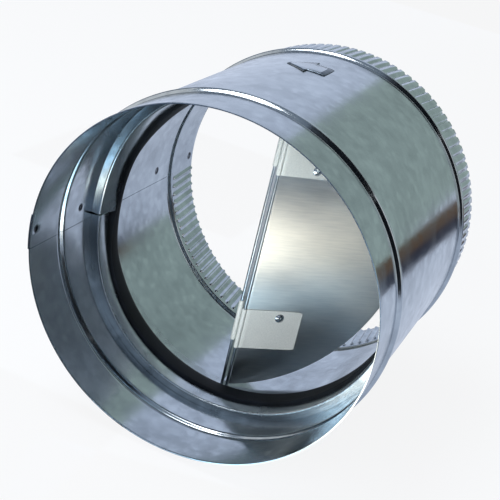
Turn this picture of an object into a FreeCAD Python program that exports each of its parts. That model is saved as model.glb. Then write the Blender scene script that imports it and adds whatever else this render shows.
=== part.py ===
import FreeCAD, Part
import math
import os

# Round in-line backdraft damper, all sizes in millimetres.
# +X is the way the air flows, +Z runs along the hinge pins.
# The origin is the centre of the inlet mouth.
# Angles round the duct are counted from +Y towards +Z.

# Casing sheet and length
duct_bore_radius = 75.7
sheet = 0.5
length = 153.0
barrel_end = 132.2

# Stiffening beads rolled outwards
front_bead_x = 24.5
rear_bead_x = 128.5
bead_height = 1.5
bead_crown_radius = 2.0
bead_crown_steps = 4
bead_foot_radius = 1.5
bead_foot_steps = 1

# Crimped outlet end
crimp_count = 110
crimp_depth = 1.1
crimp_run_in = 2.3
crimp_root_overlap = 0.5
crimp_root_sheet = 0.3
crimp_start_drop = 0.1
crimp_end_drop = 0.4
crimp_slant = 1.2
crimp_crest_share = 0.46
plain_arc_start = -9.0
plain_arc_end = 36.0

# Longitudinal lap seam with its spot welds
seam_lap_low = -8.0
seam_lap_high = 3.6
seam_slit = 0.25
seam_slit_depth = 0.25
weld_angle = -3.4
weld_end_margin = 4.0
weld_inner_margin = 40.0
weld_diameter = 3.4
weld_depth = 0.2

# Seat ring: a split hoop of folded sheet
ring_sheet = 0.6
ring_front_x = 45.0
ring_crest_height = 4.1
ring_crest_width = 8.2
ring_flange_length = 16.7
ring_bend = 1.0
ring_bend_steps = 2
ring_fit = 0.05
ring_joint_angle = -6.6
ring_joint_gap = 1.0

# Rubber gasket bonded behind the crest of the ring
gasket_height = 5.5
gasket_corner = 4.0
gasket_corner_steps = 4
gasket_fit = 0.05
gasket_pin_room = 0.1

# Two hinge pins side by side on the duct's middle plane
pin_x = 66.5
pin_radius = 0.7
pin_spacing = 2.4
pin_hole_clearance = 0.05
pin_end_gap = 0.2

# Blades: a half disc each, of thin aluminium
blade_thickness = 0.5
blade_rim_margin = 2.1
blade_edge_gap = 0.25
closed_gap = 0.3
left_blade_open = 84.0
right_blade_open = 40.0

# Hinge straps folded round a pin and riveted to the blade
strap_sheet = 0.35
strap_width = 20.2
strap_reach = 28.5
strap_back_reach = 24.0
strap_from_tip = 30.1
left_strap_shift = 3.5

# Blind rivet that closes each strap
rivet_u = 17.6
rivet_from_edge = 3.7
rivet_shank_radius = 1.2
rivet_head_radius = 2.2
rivet_head_height = 0.9
rivet_tail_radius = 1.8
rivet_tail_height = 0.7
rivet_dome_steps = 2
rivet_eye_radius = 0.65
rivet_eye_depth = 0.7
rivet_hole_clearance = 0.05

# Closing spring of each blade, round the upper end of its pin
spring_wire_radius = 0.17
spring_coil_gap = 0.08
spring_turns = 4
spring_steps_per_turn = 12
spring_wire_sides = 6
spring_pitch = 0.4
spring_from_tip = 13.6
spring_leg_reach = 14.0
spring_leg_gap = 0.05
spring_notch_margin = 0.6
spring_tail_gap = 0.3

# Places worked out from the sizes above
outer_radius = duct_bore_radius + sheet
crimp_start_crest = outer_radius - crimp_start_drop
crimp_end_crest = outer_radius - crimp_end_drop
ring_crest_radius = duct_bore_radius - ring_crest_height
ring_rear_x = ring_front_x + ring_crest_width
ring_flange_end = ring_rear_x + ring_flange_length
gasket_inner_radius = duct_bore_radius - gasket_height
blade_radius = duct_bore_radius - blade_rim_margin
strap_middle_z = blade_radius - strap_from_tip
spring_base_z = blade_radius - spring_from_tip

AXIS = FreeCAD.Vector(1, 0, 0)
UP = FreeCAD.Vector(0, 0, 1)
ORIGIN = FreeCAD.Vector(0, 0, 0)


def polar(x, radius, degrees):
    """A point at distance radius from the duct's axis."""
    angle = math.radians(degrees)
    return FreeCAD.Vector(x, radius * math.cos(angle), radius * math.sin(angle))


def flat(x, radius):
    """A point of a section drawn in the X-Y plane, to be turned about X."""
    return FreeCAD.Vector(x, radius, 0)


def bend(centre, radius, start, end, steps):
    """Points of an arc in the X-Y plane, in even steps from one angle to another."""
    points = []
    for step in range(steps + 1):
        turn = math.radians(start + (end - start) * step / steps)
        offset = FreeCAD.Vector(radius * math.cos(turn), radius * math.sin(turn), 0)
        points.append(centre + offset)
    return points


def filled(points):
    """Flat face inside a closed line of points."""
    return Part.Face(Part.makePolygon(points + [points[0]]))


def turned(section, start, sweep):
    """Revolve a section about the duct's axis, from one angle through a sweep."""
    placed = section.copy()
    placed.rotate(ORIGIN, AXIS, start)
    return placed.revolve(ORIGIN, AXIS, sweep)


def bead_points(bead_x, depth):
    """Rolled bead on the surface that lies depth outside the bore: foot, crown, foot."""
    crown = flat(bead_x, duct_bore_radius + bead_height - bead_crown_radius)
    foot_radial = duct_bore_radius + bead_foot_radius
    rise = foot_radial - crown.y
    reach = math.sqrt((bead_crown_radius + bead_foot_radius) ** 2 - rise ** 2)
    lean = math.degrees(math.atan2(rise, reach))
    near_foot = flat(bead_x - reach, foot_radial)
    far_foot = flat(bead_x + reach, foot_radial)
    foot = bead_foot_radius - depth
    near = bend(near_foot, foot, -90, -lean, bead_foot_steps)
    top = bend(crown, bead_crown_radius + depth, 180 - lean, lean, bead_crown_steps)
    far = bend(far_foot, foot, 180 + lean, 270, bead_foot_steps)
    return near[:-1] + top + far[1:]


def surface_points(depth):
    """The wall's line from the inlet mouth to the end of the plain barrel."""
    points = [flat(0, duct_bore_radius + depth)]
    for bead_x in (front_bead_x, rear_bead_x):
        points.extend(bead_points(bead_x, depth))
    points.append(flat(barrel_end, duct_bore_radius + depth))
    return points


def wall_section(inner_depth, outer_depth):
    """Closed section of the sheet between two depths outside the bore."""
    return filled(surface_points(inner_depth) + surface_points(outer_depth)[::-1])


def crimp_corners(x, crest, depth, thickness_inwards, twist):
    """Corrugated ring: crests and sharp valleys, with one plain arc left smooth."""
    pitch = 360.0 / crimp_count
    shares = (0, crimp_crest_share, (1 + crimp_crest_share) / 2)
    points = []
    for index in range(crimp_count):
        start = plain_arc_end + index * pitch
        middle = start + pitch / 2
        smooth = middle > 360 + plain_arc_start
        valley = crest if smooth else crest - depth
        radii = (crest, crest, valley)
        for share, radius in zip(shares, radii):
            points.append(polar(x, radius - thickness_inwards, start + share * pitch + twist))
    points.append(points[0])
    return points


def folded_skin(rings):
    """Flat triangles between the matching corners of neighbouring rings."""
    faces = []
    for near, far in zip(rings, rings[1:]):
        for index in range(len(near) - 1):
            first = [near[index], near[index + 1], far[index + 1], near[index]]
            second = [near[index], far[index + 1], far[index], near[index]]
            faces.append(Part.Face(Part.makePolygon(first)))
            faces.append(Part.Face(Part.makePolygon(second)))
    return faces


def crimped_end():
    """The outlet spigot, folded from a plain ring into slanted crimps."""
    root_x = barrel_end - crimp_root_overlap
    full_x = barrel_end + crimp_run_in
    root_inset = (sheet - crimp_root_sheet) / 2
    outer = [
        crimp_corners(root_x, outer_radius - root_inset, 0, 0, 0),
        crimp_corners(full_x, crimp_start_crest, crimp_depth, 0, 0),
        crimp_corners(length, crimp_end_crest, crimp_depth, 0, crimp_slant),
    ]
    inner = [
        crimp_corners(root_x, duct_bore_radius + root_inset, 0, 0, 0),
        crimp_corners(full_x, crimp_start_crest, crimp_depth, sheet, 0),
        crimp_corners(length, crimp_end_crest, crimp_depth, sheet, crimp_slant),
    ]
    faces = folded_skin(outer) + folded_skin(inner)
    for index in (0, -1):
        edges = [Part.makePolygon(outer[index]), Part.makePolygon(inner[index])]
        faces.extend(Part.makeFace(edges, "Part::FaceMakerBullseye").Faces)
    shell = Part.Shell(faces)
    shell.sewShape()
    return Part.Solid(shell)


def weld_dimple(x):
    """Spot-weld mark pressed into the bore, as a short radial cylinder."""
    direction = polar(0, 1, weld_angle)
    base = polar(x, duct_bore_radius - 1, weld_angle)
    return Part.makeCylinder(weld_diameter / 2, 1 + weld_depth, base, direction)


def casing():
    wall = turned(wall_section(0, sheet), 0, 360)
    lap = turned(wall_section(sheet, 2 * sheet), seam_lap_low, seam_lap_high - seam_lap_low)
    slit_sweep = math.degrees(seam_slit / duct_bore_radius)
    slit = turned(wall_section(0, seam_slit_depth), seam_lap_low, slit_sweep)
    body = wall.fuse(lap).cut(slit)
    body = body.fuse(crimped_end())
    margins = (weld_end_margin, weld_inner_margin)
    for x in margins + tuple(length - margin for margin in margins):
        body = body.cut(weld_dimple(x))
    return body


def ring_section():
    """Folded hoop: up the front web, over the crest, down the rear web, along the flange."""
    foot = duct_bore_radius - ring_fit
    under = foot - ring_sheet
    crest = ring_crest_radius
    front = ring_front_x
    rear = ring_rear_x
    centre = crest + ring_bend
    inner_rear = rear - ring_sheet
    outline = [flat(front, foot)]
    outline.extend(bend(flat(front + ring_bend, centre), ring_bend, 180, 270, ring_bend_steps))
    outline.extend(bend(flat(rear - ring_bend, centre), ring_bend, 270, 360, ring_bend_steps))
    outline.append(flat(rear, under))
    outline.append(flat(ring_flange_end, under))
    outline.append(flat(ring_flange_end, foot))
    flange_bend = flat(inner_rear + ring_bend, foot - ring_bend)
    outline.extend(bend(flange_bend, ring_bend, 90, 180, ring_bend_steps))
    outline.append(flat(inner_rear, crest + ring_sheet))
    outline.append(flat(front + ring_sheet, crest + ring_sheet))
    outline.append(flat(front + ring_sheet, foot))
    return filled(outline)


def pin_places():
    """Middle of the left pin and of the right pin."""
    side = pin_spacing / 2
    return {"left": FreeCAD.Vector(pin_x, side, 0), "right": FreeCAD.Vector(pin_x, -side, 0)}


def pin_rod(place, radius, half_length):
    return Part.makeCylinder(radius, 2 * half_length, place - UP * half_length, UP)


def seat_ring():
    gap_sweep = math.degrees(ring_joint_gap / ring_crest_radius)
    ring = turned(ring_section(), ring_joint_angle + gap_sweep / 2, 360 - gap_sweep)
    for place in pin_places().values():
        ring = ring.cut(pin_rod(place, pin_radius + pin_hole_clearance, duct_bore_radius))
    return ring


def gasket():
    """Rubber ring with a rounded corner that the blades meet."""
    front = ring_rear_x + gasket_fit
    back = pin_x - blade_thickness / 2 - closed_gap
    base = duct_bore_radius - ring_fit - ring_sheet - gasket_fit
    inner = gasket_inner_radius
    centre = flat(back - gasket_corner, inner + gasket_corner)
    outline = [flat(front, base), flat(front, inner)]
    outline.extend(bend(centre, gasket_corner, -90, 0, gasket_corner_steps))
    outline.append(flat(back, base))
    seal = turned(filled(outline), 0, 360)
    for place in pin_places().values():
        seal = seal.cut(pin_rod(place, pin_radius + gasket_pin_room, duct_bore_radius))
    return seal


def hinge_pin(place):
    reach = math.sqrt(duct_bore_radius ** 2 - (abs(place.y) + pin_radius) ** 2) - pin_end_gap
    return pin_rod(place, pin_radius, reach)


# Blade pieces are drawn closed, for the left blade, with the pin's axis at the origin:
# +Y leads away from the pin along the blade, and -X is the face that meets the air.

def strap_bounds(middle):
    return middle - strap_width / 2, middle + strap_width / 2


def rivet_places(straps):
    """Rivet centres as (distance from the pin, height), near each strap's inner edge."""
    places = []
    for middle in straps:
        low, high = strap_bounds(middle)
        edge = low + rivet_from_edge if middle > 0 else high - rivet_from_edge
        places.append((rivet_u, edge))
    return places


def rivet_holes(straps):
    holes = []
    for along, height in rivet_places(straps):
        base = FreeCAD.Vector(-rivet_head_radius, along, height)
        hole = Part.makeCylinder(
            rivet_shank_radius + rivet_hole_clearance, 2 * rivet_head_radius, base, AXIS
        )
        holes.append(hole)
    return holes


def spring_height():
    return spring_turns * spring_pitch


def blade(straps):
    """Half disc whose straight edge stops just short of the pin."""
    half = blade_thickness / 2
    side = pin_spacing / 2
    centre = FreeCAD.Vector(-half, -side, 0)
    disc = Part.makeCylinder(blade_radius, blade_thickness, centre, AXIS)
    start = pin_radius + blade_edge_gap
    keep = Part.makeBox(
        blade_thickness,
        blade_radius,
        2 * blade_radius,
        FreeCAD.Vector(-half, start, -blade_radius),
    )
    plate = disc.common(keep)
    notch_depth = spring_outer_radius() + spring_notch_margin
    notch = Part.makeBox(
        blade_thickness,
        notch_depth,
        spring_height() + 4 * spring_notch_margin,
        FreeCAD.Vector(-half, 0, spring_base_z - 2 * spring_notch_margin),
    )
    plate = plate.cut(notch)
    for hole in rivet_holes(straps):
        plate = plate.cut(hole)
    return plate


def strap(middle, straps):
    """Sheet folded round the pin, with one leg on each face of the blade."""
    low, high = strap_bounds(middle)
    half = blade_thickness / 2
    bore = pin_radius + pin_hole_clearance
    outer = bore + strap_sheet
    base = FreeCAD.Vector(0, 0, low)
    loop = Part.makeCylinder(outer, strap_width, base, UP)
    front_leg = Part.makeBox(
        strap_sheet, strap_reach, strap_width, FreeCAD.Vector(-half - strap_sheet, 0, low)
    )
    back_leg = Part.makeBox(
        strap_sheet, strap_back_reach, strap_width, FreeCAD.Vector(half, 0, low)
    )
    mouth = Part.makeBox(
        blade_thickness, strap_reach, strap_width, FreeCAD.Vector(-half, 0, low)
    )
    folded = loop.fuse(front_leg).fuse(back_leg).cut(mouth)
    folded = folded.cut(Part.makeCylinder(bore, strap_width, base, UP))
    for hole in rivet_holes(straps):
        folded = folded.cut(hole)
    return folded


def rivet(along, height):
    """Blind rivet turned about its own axis, domed head on the front face."""
    front = blade_thickness / 2 + strap_sheet
    back = front + rivet_tail_height
    rise = rivet_head_height
    dome = (rivet_head_radius ** 2 + rise ** 2) / (2 * rise)
    spread = math.degrees(math.asin(rivet_head_radius / dome))
    eye_rise = math.sqrt(dome ** 2 - rivet_eye_radius ** 2)
    eye_angle = math.degrees(math.asin(rivet_eye_radius / dome))
    dome_centre = flat(-front - rise + dome, 0)
    eye_top = dome_centre.x - eye_rise
    eye_floor = eye_top + rivet_eye_depth
    outline = [flat(eye_floor, 0), flat(eye_floor, rivet_eye_radius)]
    outline.extend(bend(dome_centre, dome, 180 - eye_angle, 180 - spread, rivet_dome_steps))
    outline.append(flat(-front, rivet_shank_radius))
    outline.append(flat(front, rivet_shank_radius))
    outline.append(flat(front, rivet_tail_radius))
    outline.append(flat(back, rivet_shank_radius))
    outline.append(flat(back, 0))
    body = filled(outline).revolve(ORIGIN, AXIS, 360)
    body.translate(FreeCAD.Vector(0, along, height))
    return body


def spring_coil_radius():
    return pin_radius + spring_coil_gap + spring_wire_radius


def spring_outer_radius():
    return spring_coil_radius() + spring_wire_radius


def spring_path():
    """Points of the wire with the outward direction at each: leg, coil, tail."""
    radius = spring_coil_radius()
    outward = FreeCAD.Vector(1, 0, 0)
    leg_rest = blade_thickness / 2 + spring_wire_radius + spring_leg_gap
    path = [(FreeCAD.Vector(leg_rest, spring_leg_reach, spring_base_z), outward)]
    steps = spring_turns * spring_steps_per_turn
    for step in range(steps + 1):
        share = step / steps
        angle = -2 * math.pi * spring_turns * share
        outward = FreeCAD.Vector(math.cos(angle), math.sin(angle), 0)
        height = spring_base_z + spring_turns * spring_pitch * share
        path.append((outward * radius + UP * height, outward))
    top = path[-1][0]
    flange = duct_bore_radius - ring_fit - ring_sheet
    side = pin_spacing / 2 + spring_outer_radius()
    tail_end = math.sqrt(flange ** 2 - side ** 2) - spring_tail_gap
    bend = 2 * spring_wire_radius
    path.append((top + FreeCAD.Vector(0, -bend, bend), outward))
    path.append((FreeCAD.Vector(top.x, top.y - bend, tail_end), outward))
    return path


def closing_spring():
    """Torsion spring: a leg behind the blade, the coil, and a tail beside the pin."""
    path = spring_path()
    sections = []
    for index, (point, outward) in enumerate(path):
        before = path[max(index - 1, 0)][0]
        after = path[min(index + 1, len(path) - 1)][0]
        along = (after - before).normalize()
        side = along.cross(outward).normalize()
        face = side.cross(along)
        corners = []
        for corner in range(spring_wire_sides + 1):
            angle = 2 * math.pi * (corner % spring_wire_sides) / spring_wire_sides
            offset = face * math.cos(angle) + side * math.sin(angle)
            corners.append(point + offset * spring_wire_radius)
        sections.append(Part.makePolygon(corners))
    return Part.makeLoft(sections, True, True)


def swung(shape, side, opening):
    """Put a closed left-hand piece on its pin, mirror it for the right, and open it."""
    placed = shape.copy()
    if side == "right":
        placed = placed.mirror(ORIGIN, FreeCAD.Vector(0, 1, 0))
    turn = -opening if side == "left" else opening
    placed.rotate(ORIGIN, UP, turn)
    placed.translate(pin_places()[side])
    return placed


def blade_set(side, opening, shift):
    """One blade with its straps, rivets and spring, at its angle in the picture."""
    straps = (strap_middle_z + shift, -strap_middle_z + shift)
    pieces = {
        "blade_" + side: blade(straps),
        "closing_spring_" + side: closing_spring(),
    }
    for name, middle, place in zip(("upper", "lower"), straps, rivet_places(straps)):
        pieces["hinge_strap_" + side + "_" + name] = strap(middle, straps)
        pieces["strap_rivet_" + side + "_" + name] = rivet(*place)
    return {name: swung(shape, side, opening) for name, shape in pieces.items()}


def all_pieces():
    pieces = {"casing": casing(), "seat_ring": seat_ring(), "gasket": gasket()}
    for side, place in pin_places().items():
        pieces["hinge_pin_" + side] = hinge_pin(place)
    pieces.update(blade_set("left", left_blade_open, left_strap_shift))
    pieces.update(blade_set("right", right_blade_open, 0))
    return pieces


os.makedirs("parts", exist_ok=True)
for name, shape in all_pieces().items():
    solids = shape.Solids
    shape = solids[0] if len(solids) == 1 else Part.makeCompound(solids)
    shape.exportStep("parts/" + name + ".step")
    print(name, "solids", len(solids), "volume", round(shape.Volume, 2), "valid", shape.isValid())
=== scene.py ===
# %% [markdown]
# # A backdraft damper
# A short round duct of galvanised sheet carries two half-disc blades. They hang on two thin
# upright pins behind a folded ring with a rubber gasket. The CAD model gives the frame: each
# piece below takes its place and its body from there. The pieces are drawn
# again as smooth surfaces, because a CAD mesh is made of flat facets and bright metal shows them.

# %% Load the frame
import math

import bpy
import numpy as np
from mathutils import Matrix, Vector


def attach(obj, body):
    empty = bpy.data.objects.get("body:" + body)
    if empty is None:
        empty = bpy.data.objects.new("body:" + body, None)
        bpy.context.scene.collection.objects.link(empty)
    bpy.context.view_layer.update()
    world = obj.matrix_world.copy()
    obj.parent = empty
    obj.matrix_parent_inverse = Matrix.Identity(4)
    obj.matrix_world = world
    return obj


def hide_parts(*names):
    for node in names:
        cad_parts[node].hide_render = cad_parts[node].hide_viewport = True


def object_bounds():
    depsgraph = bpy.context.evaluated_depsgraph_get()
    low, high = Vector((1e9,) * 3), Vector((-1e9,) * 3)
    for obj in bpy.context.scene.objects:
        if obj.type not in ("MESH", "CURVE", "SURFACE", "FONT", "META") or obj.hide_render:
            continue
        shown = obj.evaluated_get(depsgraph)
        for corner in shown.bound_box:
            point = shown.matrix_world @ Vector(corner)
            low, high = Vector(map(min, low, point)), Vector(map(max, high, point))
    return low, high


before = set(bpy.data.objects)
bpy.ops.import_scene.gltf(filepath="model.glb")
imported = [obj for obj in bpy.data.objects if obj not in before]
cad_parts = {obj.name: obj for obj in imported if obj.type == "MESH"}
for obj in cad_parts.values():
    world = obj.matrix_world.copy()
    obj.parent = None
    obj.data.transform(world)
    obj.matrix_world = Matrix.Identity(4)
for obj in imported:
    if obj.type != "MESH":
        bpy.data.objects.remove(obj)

cad_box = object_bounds()
MM = 0.001
print("CAD box:", [list(corner) for corner in cad_box])

# %% [markdown]
# ## From numbers to a mesh
# A surface is a grid of points: rows along its profile, columns round or across it. Neighbouring
# points make quads. The signed volume tells whether the faces look outwards; if it is negative,
# each face is turned over. That is safer than trusting the order in which points were written.
# Where a grid doesn't close on itself, its first and last row or column make two end faces.

# %% Grid faces and the mesh maker
def grid_faces(rows, columns, close_rows=False, close_columns=False):
    """Quads (i,j), (i+1,j), (i+1,j+1), (i,j+1) of a grid whose edges may be joined."""
    i = np.arange(rows if close_rows else rows - 1)[:, None]
    j = np.arange(columns if close_columns else columns - 1)[None, :]
    i_next, j_next = (i + 1) % rows, (j + 1) % columns
    corners = (i * columns + j, i_next * columns + j, i_next * columns + j_next, i * columns + j_next)
    return np.stack(np.broadcast_arrays(*corners), -1).reshape(-1, 4)


def signed_volume(points, quads):
    """Sum over all quads of the tetrahedra between each half of a quad and the origin."""
    a, b, c, d = (points[quads[:, k]] for k in range(4))
    halves = np.cross(b, c) + np.cross(c, d)
    return float((a * halves).sum() / 6)


def row_caps(rows, columns):
    """The first and last row of a grid as two end faces."""
    return [*range(columns)][::-1], [*range((rows - 1) * columns, rows * columns)]


def column_caps(rows, columns):
    """The first and last column of a grid as two end faces."""
    first = [row * columns for row in range(rows)]
    return first[::-1], [corner + columns - 1 for corner in first]


def make_piece(name, points, quads, caps=(), sharp=35, rolled=None):
    """Turns points in millimetres and faces into a smooth-shaded object in metres.

    Edges sharper than a number of degrees stay sharp. rolled gives each point two lengths on a
    rolled sheet, kept as the UV map "rolling".
    """
    points = np.asarray(points, float).reshape(-1, 3)
    centred = points - points.mean(0)
    faces = quads.tolist() + [list(cap) for cap in caps]
    if signed_volume(centred, quads) < 0:
        faces = [face[::-1] for face in faces]
    mesh = bpy.data.meshes.new(name)
    mesh.from_pydata((points * MM).tolist(), [], faces)
    mesh.polygons.foreach_set("use_smooth", np.ones(len(mesh.polygons), bool))
    mesh.set_sharp_from_angle(angle=math.radians(sharp))
    if rolled is not None:
        corners = np.empty(len(mesh.loops), int)
        mesh.loops.foreach_get("vertex_index", corners)
        lengths = np.asarray(rolled, float).reshape(-1, 2)[corners] * MM
        mesh.uv_layers.new(name="rolling").data.foreach_set("uv", lengths.ravel())
    mesh.update()
    made = bpy.data.objects.new(name, mesh)
    bpy.context.scene.collection.objects.link(made)
    return made


def make_sleeve(name, grid, **options):
    """A piece whose grid closes round its columns and whose first and last rows are end faces."""
    rows, columns = grid.shape[:2]
    quads = grid_faces(rows, columns, close_columns=True)
    return make_piece(name, grid, quads, row_caps(rows, columns), **options)


def place(made, body, slot, nodes, material):
    """Gives a piece its material and its body, and hides the CAD nodes it stands for; slot is not used.
    """
    made.data.materials.append(material)
    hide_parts(*nodes)
    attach(made, body)
    print(made.name, len(made.data.polygons), "faces")
    return made


print("a grid of 3 by 4 points makes", len(grid_faces(3, 4)), "quads")

# %% [markdown]
# ## Colours and shader nodes
# Colours are written as sRGB hex values, the way a paint chart gives them. Blender's shaders work
# in linear light, so one function converts them. Other small functions add a node with its
# settings and its links, which keeps each material's recipe readable.

# %% Colour and node helpers
def linear(hex_colour):
    """sRGB hex to linear RGBA: c/12.92 for dark values, ((c+0.055)/1.055)^2.4 above."""
    srgb = np.array([int(hex_colour[k:k + 2], 16) for k in (1, 3, 5)]) / 255
    rgb = np.where(srgb <= 0.04045, srgb / 12.92, ((srgb + 0.055) / 1.055) ** 2.4)
    return (*rgb.tolist(), 1.0)


def add_node(tree, kind, settings=(), **inputs):
    """Adds a node; an input is a value, or a socket of another node to link from."""
    node = tree.nodes.new(kind)
    for key, value in dict(settings).items():
        setattr(node, key, value)
    for key, value in inputs.items():
        numbered = key[1:].isdigit()
        socket = node.inputs[int(key[1:]) if numbered else key.replace("_", " ")]
        if isinstance(value, bpy.types.NodeSocket):
            tree.links.new(value, socket)
        else:
            socket.default_value = value
    return node


def math_node(tree, operation, *values):
    """The output of a Math node whose inputs are numbers or sockets, in order."""
    inputs = {"_%d" % k: value for k, value in enumerate(values)}
    return add_node(tree, "ShaderNodeMath", {"operation": operation}, **inputs).outputs[0]


def noise(tree, place_on, size, detail, **inputs):
    """A noise texture whose grain has a size in millimetres."""
    return add_node(
        tree, "ShaderNodeTexNoise", Vector=place_on, Scale=1 / (size * MM), Detail=detail, **inputs
    )


def new_material(name):
    """An empty material and its node tree."""
    material = bpy.data.materials.new(name)
    material.use_nodes = True
    material.node_tree.nodes.clear()
    return material, material.node_tree


def finish_material(tree, shader):
    """Links a shader to the material's output."""
    output = tree.nodes.new("ShaderNodeOutputMaterial")
    tree.links.new(shader.outputs[0], output.inputs["Surface"])


def colour_ramp(tree, factor, stops):
    """A ramp through (position, hex colour) stops."""
    ramp = add_node(tree, "ShaderNodeValToRGB", {}, Fac=factor)
    elements = ramp.color_ramp.elements
    while len(elements) < len(stops):
        elements.new(0.5)
    for element, (position, hex_colour) in zip(elements, stops):
        element.position = position
        element.color = linear(hex_colour)
    return ramp


print("white in linear light:", linear("#ffffff"))

# %% [markdown]
# ## The galvanised sheet
# Hot-dip galvanised steel is covered in zinc crystals, called spangle. On rolled sheet they are
# small and pressed flat, so they show as a soft mottle: neighbouring patches are a little lighter
# or darker, and a little more or less glossy. Cells of a Voronoi texture give the crystals,
# stirred by noise so that their edges are ragged. A broad noise adds the clouds of handling and
# storage, and the spot welds leave small rings of burnt zinc, found by their distance from a point.

# %% Galvanised steel
SPANGLE = 3.6
STIR = 0.9
CLOUD = 26.0
ZINC_GRAIN = 0.5
ZINC_RELIEF = 0.04
GLOSS_SPREAD = 0.08
BURNT_RADIUS = 2.0
BURNT_STOPS = [
    (0.0, "#b8bcc2"), (0.14, "#8a9098"), (0.26, "#262c38"), (0.4, "#262c38"), (0.55, "#ffffff"),
]


def burnt_rings(tree, place_on, weld_points):
    """White on plain zinc, dark on a ring round each weld: the smallest distance through a ramp."""
    nearest = None
    for point in weld_points:
        distance = add_node(
            tree, "ShaderNodeVectorMath", {"operation": "DISTANCE"}, _0=place_on, _1=tuple(point)
        ).outputs["Value"]
        nearest = distance if nearest is None else math_node(tree, "MINIMUM", nearest, distance)
    share = math_node(tree, "DIVIDE", nearest, 2 * BURNT_RADIUS * MM)
    return colour_ramp(tree, share, BURNT_STOPS)


def galvanised(name, tones, metal_roughness, weld_points=()):
    """Zinc spangle: tones runs from the darkest crystal to the lightest."""
    material, tree = new_material(name)
    place_on = add_node(tree, "ShaderNodeTexCoord").outputs["Object"]
    stir = noise(tree, place_on, SPANGLE, 3.0)
    shift = add_node(
        tree, "ShaderNodeVectorMath", {"operation": "SCALE"},
        _0=stir.outputs["Color"], Scale=STIR * SPANGLE * MM,
    )
    stirred = add_node(tree, "ShaderNodeVectorMath", _0=place_on, _1=shift.outputs[0])
    crystals = add_node(
        tree, "ShaderNodeTexVoronoi", {"feature": "SMOOTH_F1"},
        Vector=stirred.outputs[0], Scale=1 / (SPANGLE * MM),
    )
    cloud = noise(tree, place_on, CLOUD, 6.0, Roughness=0.6)
    grain = noise(tree, place_on, ZINC_GRAIN, 2.0)
    crystal = add_node(tree, "ShaderNodeSeparateColor", Color=crystals.outputs["Color"]).outputs[0]
    level = math_node(tree, "MULTIPLY_ADD", crystal, 0.35, cloud.outputs["Fac"])
    spread = add_node(tree, "ShaderNodeMapRange", Value=level, From_Min=0.3, From_Max=1.05)
    colour = colour_ramp(tree, spread.outputs[0], list(zip((0.0, 0.5, 1.0), tones))).outputs["Color"]
    if len(weld_points):
        burnt = burnt_rings(tree, place_on, weld_points)
        colour = add_node(
            tree, "ShaderNodeMix", {"data_type": "RGBA", "blend_type": "MULTIPLY"}, _0=1.0,
            _6=colour, _7=burnt.outputs["Color"],
        ).outputs[2]
    gloss = add_node(
        tree, "ShaderNodeMapRange", Value=spread.outputs[0],
        To_Min=metal_roughness + GLOSS_SPREAD, To_Max=metal_roughness - GLOSS_SPREAD,
    )
    relief = math_node(tree, "MULTIPLY_ADD", crystal, 0.7, grain.outputs["Fac"])
    bump = add_node(tree, "ShaderNodeBump", Height=relief, Strength=0.2, Distance=ZINC_RELIEF * MM)
    shader = add_node(
        tree, "ShaderNodeBsdfPrincipled", Base_Color=colour, Metallic=1.0,
        Roughness=gloss.outputs[0], Normal=bump.outputs[0],
    )
    finish_material(tree, shader)
    return material


print("spangle", SPANGLE, "mm, clouds", CLOUD, "mm")

# %% [markdown]
# ## The casing
# One sheet makes the whole duct: two rolled beads, a lap seam, and a crimped end. The surface is
# a profile from the inlet mouth to the outlet and back inside, swept round the axis, so every
# point is a radius that depends on the place along the duct and the angle round it. Beads change
# the radius along the duct, the lap seam changes it round the duct, and the crimps change it in
# both directions. Extra columns stand at the edges of the seam, which keeps those edges crisp,
# and extra rows beside the beads keep the reflections on the plain sheet straight. The crimped
# end holds its shape, but the open mouth is a little oval, as thin sheet is after handling.

# %% Casing sizes
BORE = 75.7
SHEET = 0.5
LENGTH = 153.0
BARREL_END = 132.2
BEADS = (24.5, 128.5)
BEAD_HEIGHT = 1.5
CROWN_RADIUS = 2.0
FOOT_RADIUS = 1.5
CRIMPS = 110
CRIMP_DEPTH = 0.75
CRIMP_RUN_IN = 2.3
CRIMP_CRESTS = (76.1, 75.8)
CRIMP_SLANT = 1.2
PLAIN_ARC = (-9.0, 36.0)
LAP = (-8.0, 3.6)
SLIT = 0.25
SLIT_END = LAP[0] + math.degrees(SLIT / BORE)
WELD_ANGLE, WELD_DRIFT = -1.9, -0.011
WELD_PLACES = (4.0, 40.0, LENGTH - 40.0, LENGTH - 4.0)
WELD_RADIUS = 1.7
WELD_DENT = 0.22
OUTSIDE = BORE + SHEET
OVAL, OVAL_TURN = 0.9, 5.0
WAVES = ((0.05, 5, 0.03, 0.0), (0.04, 3, -0.045, 1.1))
WAVE_FADE = (2, 12)


def smooth_step(value, low, high):
    """0 below low, 1 above high, and the cubic 3t^2 - 2t^3 between them."""
    share = np.clip((value - low) / (high - low), 0, 1)
    return share * share * (3 - 2 * share)


def polar(x, radius, degrees):
    """Points at a distance from the duct's axis, at angles from +Y towards +Z."""
    angle = np.radians(degrees)
    return np.stack(np.broadcast_arrays(x, radius * np.cos(angle), radius * np.sin(angle)), -1)


def oval(x, degrees):
    """Radius added: OVAL cos 2(angle - OVAL_TURN) at the mouth, fading evenly to 0 at the outlet."""
    return OVAL * (1 - np.clip(x / LENGTH, 0, 1)) * np.cos(2 * np.radians(degrees - OVAL_TURN))


print("the sheet is", SHEET, "mm thick and the duct", LENGTH, "mm long")

# %% The bead and the crimp as formulas
BOTH_RADII = CROWN_RADIUS + FOOT_RADIUS
BEAD_REACH = math.sqrt(BOTH_RADII ** 2 - (BOTH_RADII - BEAD_HEIGHT) ** 2)


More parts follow.
